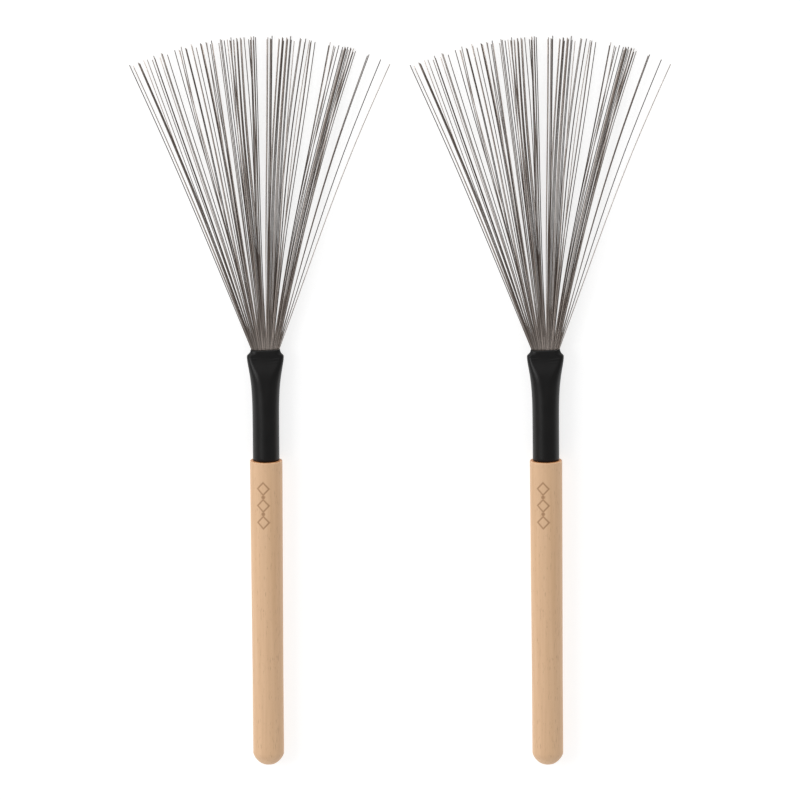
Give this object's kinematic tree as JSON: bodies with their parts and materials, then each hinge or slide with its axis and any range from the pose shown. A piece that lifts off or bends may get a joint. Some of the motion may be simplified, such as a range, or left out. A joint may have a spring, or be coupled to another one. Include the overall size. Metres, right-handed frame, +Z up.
{
  "type": "wire drum brushes",
  "caption": "Pair of non-retractable wire drum brushes lying side by side: turned wooden handle, black flattened sleeve and a wide flat fan of steel wires.",
  "frame": {"origin": "on the table, under the middle of the box round the pair", "axes": "+Z up from the table, +Y along the brushes from butts to wire tips, +X from the left brush to the right brush"},
  "size_m": [0.2504, 0.3458, 0.015],
  "materials": {
    "wood": "light beech or maple, fine lengthwise flecks, thin satin lacquer",
    "black_sleeve": "black shrunk polymer sleeve, satin, softly creased at the lip",
    "ferrule_steel": "plain drawn steel tube, hidden by the sleeve",
    "resin": "cast amber glue, hidden in the ferrule",
    "wire_steel": "bright drawn steel wire, warm grey, each wire a slightly different tone"
  },
  "bodies": {
    "left_brush": {"left_handle": "wood", "left_ferrule": "ferrule_steel", "left_sleeve": "black_sleeve", "left_resin_plug": "resin", "left_wire_roots": "wire_steel"},
    "left_tuft_01": {"left_wires_01": "wire_steel"},
    "left_tuft_02": {"left_wires_02": "wire_steel"},
    "left_tuft_03": {"left_wires_03": "wire_steel"},
    "left_tuft_04": {"left_wires_04": "wire_steel"},
    "left_tuft_05": {"left_wires_05": "wire_steel"},
    "left_tuft_06": {"left_wires_06": "wire_steel"},
    "left_tuft_07": {"left_wires_07": "wire_steel"},
    "left_tuft_08": {"left_wires_08": "wire_steel"},
    "left_tuft_09": {"left_wires_09": "wire_steel"},
    "left_tuft_10": {"left_wires_10": "wire_steel"},
    "left_tuft_11": {"left_wires_11": "wire_steel"},
    "left_tuft_12": {"left_wires_12": "wire_steel"},
    "left_tuft_13": {"left_wires_13": "wire_steel"},
    "left_tuft_14": {"left_wires_14": "wire_steel"},
    "right_brush": {"right_handle": "wood", "right_ferrule": "ferrule_steel", "right_sleeve": "black_sleeve", "right_resin_plug": "resin", "right_wire_roots": "wire_steel"},
    "right_tuft_01": {"right_wires_01": "wire_steel"},
    "right_tuft_02": {"right_wires_02": "wire_steel"},
    "right_tuft_03": {"right_wires_03": "wire_steel"},
    "right_tuft_04": {"right_wires_04": "wire_steel"},
    "right_tuft_05": {"right_wires_05": "wire_steel"},
    "right_tuft_06": {"right_wires_06": "wire_steel"},
    "right_tuft_07": {"right_wires_07": "wire_steel"},
    "right_tuft_08": {"right_wires_08": "wire_steel"},
    "right_tuft_09": {"right_wires_09": "wire_steel"},
    "right_tuft_10": {"right_wires_10": "wire_steel"},
    "right_tuft_11": {"right_wires_11": "wire_steel"},
    "right_tuft_12": {"right_wires_12": "wire_steel"},
    "right_tuft_13": {"right_wires_13": "wire_steel"},
    "right_tuft_14": {"right_wires_14": "wire_steel"}
  },
  "joints": [
    {"name": "left_flex_01", "type": "hinge", "parent": "left_brush", "child": "left_tuft_01", "pos_m": [-0.0637, 0.0254, 0.00747], "axis": [1, 0, 0], "range_deg": [0, 35], "stiffness_Nm_per_rad": 0.0112, "springref_deg": 2.12},
    {"name": "left_flex_02", "type": "hinge", "parent": "left_brush", "child": "left_tuft_02", "pos_m": [-0.0637, 0.0254, 0.00747], "axis": [1, 0, 0], "range_deg": [0, 35], "stiffness_Nm_per_rad": 0.0128, "springref_deg": 2.12},
    {"name": "left_flex_03", "type": "hinge", "parent": "left_brush", "child": "left_tuft_03", "pos_m": [-0.0637, 0.0254, 0.00747], "axis": [1, 0, 0], "range_deg": [0, 35], "stiffness_Nm_per_rad": 0.0128, "springref_deg": 2.12},
    {"name": "left_flex_04", "type": "hinge", "parent": "left_brush", "child": "left_tuft_04", "pos_m": [-0.0637, 0.0254, 0.00747], "axis": [1, 0, 0], "range_deg": [0, 35], "stiffness_Nm_per_rad": 0.0144, "springref_deg": 2.12},
    {"name": "left_flex_05", "type": "hinge", "parent": "left_brush", "child": "left_tuft_05", "pos_m": [-0.0637, 0.0254, 0.00747], "axis": [1, 0, 0], "range_deg": [0, 35], "stiffness_Nm_per_rad": 0.0064, "springref_deg": 2.12},
    {"name": "left_flex_06", "type": "hinge", "parent": "left_brush", "child": "left_tuft_06", "pos_m": [-0.0637, 0.0254, 0.00747], "axis": [1, 0, 0], "range_deg": [0, 35], "stiffness_Nm_per_rad": 0.0208, "springref_deg": 2.12},
    {"name": "left_flex_07", "type": "hinge", "parent": "left_brush", "child": "left_tuft_07", "pos_m": [-0.0637, 0.0254, 0.00747], "axis": [1, 0, 0], "range_deg": [0, 35], "stiffness_Nm_per_rad": 0.0112, "springref_deg": 2.12},
    {"name": "left_flex_08", "type": "hinge", "parent": "left_brush", "child": "left_tuft_08", "pos_m": [-0.0637, 0.0254, 0.00747], "axis": [1, 0, 0], "range_deg": [0, 35], "stiffness_Nm_per_rad": 0.008, "springref_deg": 2.12},
    {"name": "left_flex_09", "type": "hinge", "parent": "left_brush", "child": "left_tuft_09", "pos_m": [-0.0637, 0.0254, 0.00747], "axis": [1, 0, 0], "range_deg": [0, 35], "stiffness_Nm_per_rad": 0.0176, "springref_deg": 2.12},
    {"name": "left_flex_10", "type": "hinge", "parent": "left_brush", "child": "left_tuft_10", "pos_m": [-0.0637, 0.0254, 0.00747], "axis": [1, 0, 0], "range_deg": [0, 35], "stiffness_Nm_per_rad": 0.0128, "springref_deg": 2.12},
    {"name": "left_flex_11", "type": "hinge", "parent": "left_brush", "child": "left_tuft_11", "pos_m": [-0.0637, 0.0254, 0.00747], "axis": [1, 0, 0], "range_deg": [0, 35], "stiffness_Nm_per_rad": 0.008, "springref_deg": 2.12},
    {"name": "left_flex_12", "type": "hinge", "parent": "left_brush", "child": "left_tuft_12", "pos_m": [-0.0637, 0.0254, 0.00747], "axis": [1, 0, 0], "range_deg": [0, 35], "stiffness_Nm_per_rad": 0.0208, "springref_deg": 2.12},
    {"name": "left_flex_13", "type": "hinge", "parent": "left_brush", "child": "left_tuft_13", "pos_m": [-0.0637, 0.0254, 0.00747], "axis": [1, 0, 0], "range_deg": [0, 35], "stiffness_Nm_per_rad": 0.0032, "springref_deg": 2.12},
    {"name": "left_flex_14", "type": "hinge", "parent": "left_brush", "child": "left_tuft_14", "pos_m": [-0.0637, 0.0254, 0.00747], "axis": [1, 0, 0], "range_deg": [0, 35], "stiffness_Nm_per_rad": 0.0032, "springref_deg": 2.12},
    {"name": "right_flex_01", "type": "hinge", "parent": "right_brush", "child": "right_tuft_01", "pos_m": [0.0663, 0.02445, 0.00747], "axis": [1, 0, 0], "range_deg": [0, 35], "stiffness_Nm_per_rad": 0.0112, "springref_deg": 2.12},
    {"name": "right_flex_02", "type": "hinge", "parent": "right_brush", "child": "right_tuft_02", "pos_m": [0.0663, 0.02445, 0.00747], "axis": [1, 0, 0], "range_deg": [0, 35], "stiffness_Nm_per_rad": 0.0128, "springref_deg": 2.12},
    {"name": "right_flex_03", "type": "hinge", "parent": "right_brush", "child": "right_tuft_03", "pos_m": [0.0663, 0.02445, 0.00747], "axis": [1, 0, 0], "range_deg": [0, 35], "stiffness_Nm_per_rad": 0.0128, "springref_deg": 2.12},
    {"name": "right_flex_04", "type": "hinge", "parent": "right_brush", "child": "right_tuft_04", "pos_m": [0.0663, 0.02445, 0.00747], "axis": [1, 0, 0], "range_deg": [0, 35], "stiffness_Nm_per_rad": 0.0144, "springref_deg": 2.12},
    {"name": "right_flex_05", "type": "hinge", "parent": "right_brush", "child": "right_tuft_05", "pos_m": [0.0663, 0.02445, 0.00747], "axis": [1, 0, 0], "range_deg": [0, 35], "stiffness_Nm_per_rad": 0.0064, "springref_deg": 2.12},
    {"name": "right_flex_06", "type": "hinge", "parent": "right_brush", "child": "right_tuft_06", "pos_m": [0.0663, 0.02445, 0.00747], "axis": [1, 0, 0], "range_deg": [0, 35], "stiffness_Nm_per_rad": 0.0208, "springref_deg": 2.12},
    {"name": "right_flex_07", "type": "hinge", "parent": "right_brush", "child": "right_tuft_07", "pos_m": [0.0663, 0.02445, 0.00747], "axis": [1, 0, 0], "range_deg": [0, 35], "stiffness_Nm_per_rad": 0.0112, "springref_deg": 2.12},
    {"name": "right_flex_08", "type": "hinge", "parent": "right_brush", "child": "right_tuft_08", "pos_m": [0.0663, 0.02445, 0.00747], "axis": [1, 0, 0], "range_deg": [0, 35], "stiffness_Nm_per_rad": 0.008, "springref_deg": 2.12},
    {"name": "right_flex_09", "type": "hinge", "parent": "right_brush", "child": "right_tuft_09", "pos_m": [0.0663, 0.02445, 0.00747], "axis": [1, 0, 0], "range_deg": [0, 35], "stiffness_Nm_per_rad": 0.0176, "springref_deg": 2.12},
    {"name": "right_flex_10", "type": "hinge", "parent": "right_brush", "child": "right_tuft_10", "pos_m": [0.0663, 0.02445, 0.00747], "axis": [1, 0, 0], "range_deg": [0, 35], "stiffness_Nm_per_rad": 0.0128, "springref_deg": 2.12},
    {"name": "right_flex_11", "type": "hinge", "parent": "right_brush", "child": "right_tuft_11", "pos_m": [0.0663, 0.02445, 0.00747], "axis": [1, 0, 0], "range_deg": [0, 35], "stiffness_Nm_per_rad": 0.008, "springref_deg": 2.12},
    {"name": "right_flex_12", "type": "hinge", "parent": "right_brush", "child": "right_tuft_12", "pos_m": [0.0663, 0.02445, 0.00747], "axis": [1, 0, 0], "range_deg": [0, 35], "stiffness_Nm_per_rad": 0.0208, "springref_deg": 2.12},
    {"name": "right_flex_13", "type": "hinge", "parent": "right_brush", "child": "right_tuft_13", "pos_m": [0.0663, 0.02445, 0.00747], "axis": [1, 0, 0], "range_deg": [0, 35], "stiffness_Nm_per_rad": 0.0032, "springref_deg": 2.12},
    {"name": "right_flex_14", "type": "hinge", "parent": "right_brush", "child": "right_tuft_14", "pos_m": [0.0663, 0.02445, 0.00747], "axis": [1, 0, 0], "range_deg": [0, 35], "stiffness_Nm_per_rad": 0.0032, "springref_deg": 2.12},
    {"name": "right_lift", "type": "slide", "parent": "left_brush", "child": "right_brush", "axis": [0, 0, 1], "range_m": [0, 0.15]}
  ]
}
